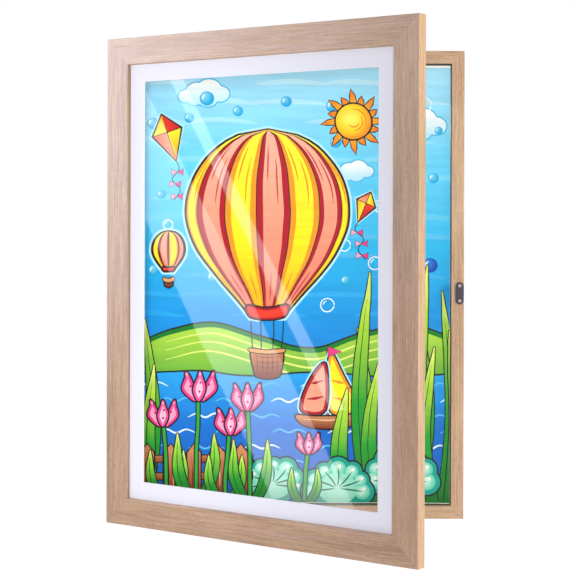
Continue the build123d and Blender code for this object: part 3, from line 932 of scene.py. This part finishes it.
def paper_rise(u, v):
    """How far the sheet stands off its place: slow waves, a bowed side and a curled corner."""
    corner = np.clip(1 - ((sheet_wide - u) + v) / curl_reach, 0, 1) ** 2 * curl_height
    swell = np.sin(u / wave_across + wave_start) * np.cos(v / wave_up)
    waves = wave_height * (0.5 + 0.5 * swell)
    middle = np.clip(np.minimum(v, sheet_tall - v) / calm_edge, 0, 1)
    bow = np.clip(1 - (sheet_wide - u) / bow_reach, 0, 1) ** 2 * bow_height
    return corner + (waves + bow) * middle


def painted_sheet():
    """The drawing as one sheet that is cut along every painted outline."""
    across = np.linspace(0, sheet_wide, round(sheet_wide / grid_step) + 1)
    up = np.linspace(0, sheet_tall, round(sheet_tall / grid_step) + 1)
    spots = [(u, v) for v in up for u in across]
    edges = []
    for outline, _ in picture:
        first, count = len(spots), len(outline)
        spots += map(tuple, np.clip(outline, field_low, field_high))
        edges += [(first + i, first + (i + 1) % count) for i in range(count)]
    made = geometry.delaunay_2d_cdt([Vector(s) for s in spots], edges, [], 0, merge_gap, False)
    places = np.array([tuple(p) for p in made[0]])
    faces = np.array([tuple(f) for f in made[2]])
    centres = places[faces].mean(1)
    owner = np.full(len(faces), -1)
    for index, (outline, _) in enumerate(picture):
        owner[covered(centres, outline)] = index
    bare = np.ones(len(faces), bool)
    bare[covered(centres, motif_field)] = False
    owner[bare] = -1
    shades = np.tile(np.array(colour("#fdfeff")[:3]), (len(faces), 3, 1))
    for index, (_, tone) in enumerate(picture):
        own = np.flatnonzero(owner == index)
        if len(own):
            corners = places[faces[own]].reshape(-1, 2)
            shades[own] = tone(corners[:, 0], corners[:, 1]).reshape(-1, 3, 3)

    mesh = bpy.data.meshes.new("painted_drawing")
    rise = paper_rise(places[:, 0], places[:, 1])
    mesh.from_pydata([
        (sheet_low.x + u * MM, sheet_low.y - r * MM, sheet_low.z + v * MM)
        for (u, v), r in zip(places, rise)], [], faces.tolist())
    paint = mesh.color_attributes.new("ink", "FLOAT_COLOR", "CORNER")
    values = np.concatenate([shades.reshape(-1, 3), np.ones((len(faces) * 3, 1))], axis=1)
    paint.data.foreach_set("color", values.astype(np.float32).ravel())
    return new_object("painted_drawing", mesh)


stroke_length = 60 * MM
stroke_width = 6 * MM
tooth_size = 0.9 * MM


def marker_paint():
    """Marker and watercolour on drawing paper: even colour with faint strokes and a fine tooth."""
    material, tree = new_material("marker_and_watercolour_on_paper")
    paint = add(tree, "ShaderNodeAttribute", attribute_name="ink").outputs["Color"]
    spot = add(tree, "ShaderNodeTexCoord").outputs["Object"]
    tooth = cloud(tree, spot, (tooth_size, tooth_size, tooth_size), 1.0)
    strokes = cloud(tree, spot, (stroke_length, stroke_length, stroke_width), 2.0)
    both = reckon(
        tree, "MULTIPLY",
        ranged(tree, strokes, {
            "From Min": 0.35, "From Max": 0.65, "To Min": 0.95, "To Max": 1.05}),
        ranged(tree, tooth, {
            "From Min": 0.3, "From Max": 0.7, "To Min": 0.96, "To Max": 1.03}))
    return principled(material, {
        "Base Color": blend(tree, 1.0, paint, both, "MULTIPLY"), "Roughness": 0.7,
        "Normal": relief(tree, tooth, 0.2, 0.05 * MM)})


def bare_paper():
    """Drawing paper on the back and the edges of the drawing: warm white and matt."""
    material, tree = new_material("drawing_paper")
    return principled(material, {"Base Color": colour("#f2f1ea"), "Roughness": 0.8})


drawing = painted_sheet()
drawing.data.materials.append(marker_paint())
drawing.data.materials.append(bare_paper())
thickness = drawing.modifiers.new("thickness", "SOLIDIFY")
thickness.thickness = sheet_thick
thickness.offset = -1
thickness.material_offset = 1
thickness.material_offset_rim = 1
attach(drawing, "box")
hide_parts("artwork_sheet")


# The stored drawings behind it: separate sheets, each lying a little askew in the stack
stack_low, stack_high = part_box("stored_drawings")
stack_size = stack_high - stack_low
sheet_count = 16
sheet_askew = math.radians(0.08)
sheet_shift = 0.9 * MM
sheet_short = 1.6 * MM
sheet_fill = 0.92


def paper_stack():
    """The sheets of the stack, laid one behind another by Geometry Nodes."""
    tree = bpy.data.node_groups.new("stacked_sheets", "GeometryNodeTree")
    tree.interface.new_socket("Geometry", in_out="OUTPUT", socket_type="NodeSocketGeometry")
    pitch = stack_size.y / sheet_count
    middle = (stack_low + stack_high) / 2
    line = add(tree, "GeometryNodeMeshLine", {
        "Count": sheet_count, "Start Location": (middle.x, stack_low.y + pitch / 2, middle.z),
        "Offset": (0, pitch, 0)})

    def scatter(most, seed):
        """A vector for each sheet, of up to this much either way."""
        return add(tree, "FunctionNodeRandomValue", {0: -Vector(most), 1: most, "Seed": seed},
                   data_type="FLOAT_VECTOR").outputs[0]

    placed = add(tree, "GeometryNodeSetPosition", {
        "Geometry": line.outputs["Mesh"], "Offset": scatter((sheet_shift, 0, sheet_shift), 3)})
    sheet = add(tree, "GeometryNodeMeshCube", {"Size": (
        stack_size.x - sheet_short * 2, pitch * sheet_fill, stack_size.z - sheet_short * 2)})
    sheets = add(tree, "GeometryNodeInstanceOnPoints", {
        "Points": placed.outputs["Geometry"], "Instance": sheet.outputs["Mesh"],
        "Rotation": scatter((0, sheet_askew, 0), 5)})
    tint = add(tree, "FunctionNodeRandomValue", {2: 0.0, 3: 1.0, "Seed": 8}, data_type="FLOAT")
    tinted = add(tree, "GeometryNodeStoreNamedAttribute", {
        "Geometry": sheets.outputs["Instances"], "Name": "sheet_tint", "Value": tint.outputs[1]},
        data_type="FLOAT", domain="INSTANCE")
    real = add(tree, "GeometryNodeRealizeInstances", {"Geometry": tinted.outputs["Geometry"]})
    finish = add(tree, "GeometryNodeSetMaterial", {
        "Geometry": real.outputs["Geometry"], "Material": stacked_paper()})
    add(tree, "NodeGroupOutput", {"Geometry": finish.outputs["Geometry"]})

    piece = new_object("stacked_sheets", bpy.data.meshes.new("stacked_sheets"))
    piece.modifiers.new("stack", "NODES").node_group = tree
    built = piece.evaluated_get(bpy.context.evaluated_depsgraph_get())
    piece.data = bpy.data.meshes.new_from_object(built)
    piece.modifiers.clear()
    return piece


def stacked_paper():
    """Drawing paper whose sheets differ a little in white."""
    material, tree = new_material("stored_drawing_paper")
    tint = add(tree, "ShaderNodeAttribute", attribute_name="sheet_tint").outputs["Fac"]
    return principled(material, {
        "Base Color": ramp(tree, tint, (0.0, "#e6e2d6"), (0.5, "#f2f0ea"), (1.0, "#f7f7f4")),
        "Roughness": 0.85, "Specular IOR Level": 0.25})


stack = paper_stack()
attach(stack, "box")
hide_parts("stored_drawings")


# Studio: the world and the floor light the object by less than the white that the eye sees
ambient_strength = 0.55
floor_lift = 0.56
pure_white = (1, 1, 1, 1)


def seen_share(tree):
    """One for rays from the camera, a mirror or a clear piece, and nought for other light."""
    rays = add(tree, "ShaderNodeLightPath").outputs
    seen = reckon(tree, "MAXIMUM", rays["Is Camera Ray"], rays["Is Glossy Ray"])
    return reckon(tree, "MAXIMUM", seen, rays["Is Transmission Ray"])


world = bpy.data.worlds.new("studio")
bpy.context.scene.world = world
world.use_nodes = True
air = world.node_tree
air.nodes.clear()
ambient = add(air, "ShaderNodeBackground", {
    "Color": colour("#fbf8ff"), "Strength": ambient_strength})
white = add(air, "ShaderNodeBackground", {"Color": pure_white, "Strength": 1.0})
sky = add(air, "ShaderNodeMixShader", {
    "Fac": seen_share(air), 1: ambient.outputs["Background"], 2: white.outputs["Background"]})
add(air, "ShaderNodeOutputWorld", {"Surface": sky.outputs["Shader"]})


def lamp(name, place, target, width, height, watts, tint="#ffffff", spread=180.0):
    """A rectangular lamp that only lights: neither the camera nor gloss sees it."""
    data = bpy.data.lights.new(name, "AREA")
    data.shape = "RECTANGLE"
    data.size, data.size_y = width, height
    data.spread = math.radians(spread)
    data.energy = watts
    data.color = colour(tint)[:3]
    made = new_object(name, data)
    made.location = place
    made.rotation_euler = (Vector(target) - Vector(place)).to_track_quat("-Z", "Y").to_euler()
    made.visible_camera = made.visible_glossy = False
    return made


lamp("front_softbox", (-0.02, -1.9, -0.10), (0.0, -0.1, -0.2), 0.5, 0.5, 6.9, "#fdf9ff")
lamp("gridded_strip_lamp", (-0.16, -1.30, -0.2), (-0.15, 0.0, -0.2), 0.16, 0.8, 0.32,
     "#fbf8ff", 26.0)
lamp("rear_softbox", (0.5, 2.0, 0.6), (0.0, 0.0, -0.2), 1.2, 1.2, 26.0)
right_lamp = lamp("right_softbox", (1.50, -0.95, 0.12), (0.1, -0.1, -0.2), 0.8, 0.8, 24.0,
                  "#fffbe0")
right_lamp.visible_glossy = True


def left_out(name, *members):
    """A set of pieces that a lamp leaves out."""
    made = bpy.data.collections.new(name)
    for member in members:
        made.objects.link(nodes[member])
    for item in made.collection_objects:
        item.light_linking.link_state = "EXCLUDE"
    return made


# In the photograph the box's rim throws no shadow on the drawing, so it lets this lamp through,
# and the glazing doesn't mirror it
right_lamp.light_linking.blocker_collection = left_out(
    "rim_passed_by_right_softbox", "box_stile_latch", "box_rail_top", "box_rail_bottom")
glazing_spared = left_out("glazing_spared", "door_glazing")
right_lamp.light_linking.receiver_collection = glazing_spared


def stage_sheet(name, corners, material):
    """A flat sheet that belongs to the studio."""
    mesh = bpy.data.meshes.new(name)
    mesh.from_pydata(corners, [], [range(len(corners))])
    mesh.materials.append(material)
    made = new_object(name, mesh)
    made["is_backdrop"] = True
    return made


def white_floor():
    """Pale matt paper whose white shows to the eye, with the object's shadow left on it."""
    material, tree = new_material("pale_floor_paper")
    paper = add(tree, "ShaderNodeBsdfDiffuse", {"Color": colour("#f2f2f2")})
    glow = add(tree, "ShaderNodeEmission", {
        "Color": pure_white, "Strength": reckon(tree, "MULTIPLY", seen_share(tree), floor_lift)})
    both = add(tree, "ShaderNodeAddShader", {0: paper.outputs["BSDF"], 1: glow.outputs[0]})
    return shown(material, both.outputs["Shader"])


floor_below = 1.1
floor_half = 8.0
stage_sheet("floor", [
    (x * floor_half, y * floor_half, -floor_below) for x, y in ((-1, -1), (1, -1), (1, 1), (-1, 1))
], white_floor())

# What the glazing mirrors: a softbox and a thin strip of light before a dark flag. Their
# corners are where the photograph shows the edges of the reflections, thrown back by the pane.
card_x = -1.6
softbox_pixels = ((110, 20), (54, 20), (301, 560), (382, 560))
strip_pixels = ((153, 46), (166, 46), (345, 410), (331, 410))
flag_pixels = ((80, 0), (480, 0), (480, 620), (80, 620))
flag_behind = 0.1
pane_normal = Vector((0, -1, 0)) @ door_turn
pane_point = hinge_axis + Vector((0, extent(["door_glazing"], door_turn)[0].y, 0)) @ door_turn


def thrown_back(pixel, x):
    """Where the sight line through a pixel meets the plane of this x, once the pane mirrors it."""
    across = (pixel[0] - photo_side / 2) / focal_pixels
    down = (pixel[1] - photo_side / 2 + axis_above_middle_pixels) / focal_pixels
    sight = Vector((across, 1, -down))
    reach = (pane_point - camera_place).dot(pane_normal) / sight.dot(pane_normal)
    spot = camera_place + reach * sight
    back = sight.reflect(pane_normal)
    return spot + (x - spot.x) / back.x * back


def mirror_card(name, corners, strength, tint="#f6f8ff", clear=False):
    """A sheet of even light that only the gloss of the object sees, opaque or clear."""
    material, tree = new_material(f"{name}_light")
    light = add(tree, "ShaderNodeEmission", {
        "Color": colour(tint), "Strength": strength}).outputs["Emission"]
    if clear:
        passed = add(tree, "ShaderNodeBsdfTransparent", {"Color": pure_white})
        light = add(tree, "ShaderNodeAddShader", {
            0: light, 1: passed.outputs["BSDF"]}).outputs["Shader"]
    card = stage_sheet(name, corners, shown(material, light))
    card.visible_camera = card.visible_diffuse = card.visible_transmission = False
    card.visible_shadow = card.visible_volume_scatter = False
    return card


for name, pixels, x, strength in (
        ("mirrored_softbox", softbox_pixels, card_x, 2.5),
        ("mirrored_strip", strip_pixels, card_x, 3.0),
        ("mirrored_flag", flag_pixels, card_x - flag_behind, 0.0)):
    mirror_card(name, [thrown_back(pixel, x) for pixel in pixels], strength)

# A cool card to the left puts a sheen on the upper left of the door's wood, not on the glazing
sheen_x = -0.65
sheen_edge = ((-0.17, -0.24), (0.15, -0.24), (0.15, 0.45), (-0.40, 0.45))
sheen = mirror_card("sheen_card", [(sheen_x, y, z) for y, z in sheen_edge], 11.5, "#e4ecff",
                    clear=True)
sheen.light_linking.receiver_collection = glazing_spared

place_camera()
bpy.context.scene.view_settings.view_transform = "Standard"

low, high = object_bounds()
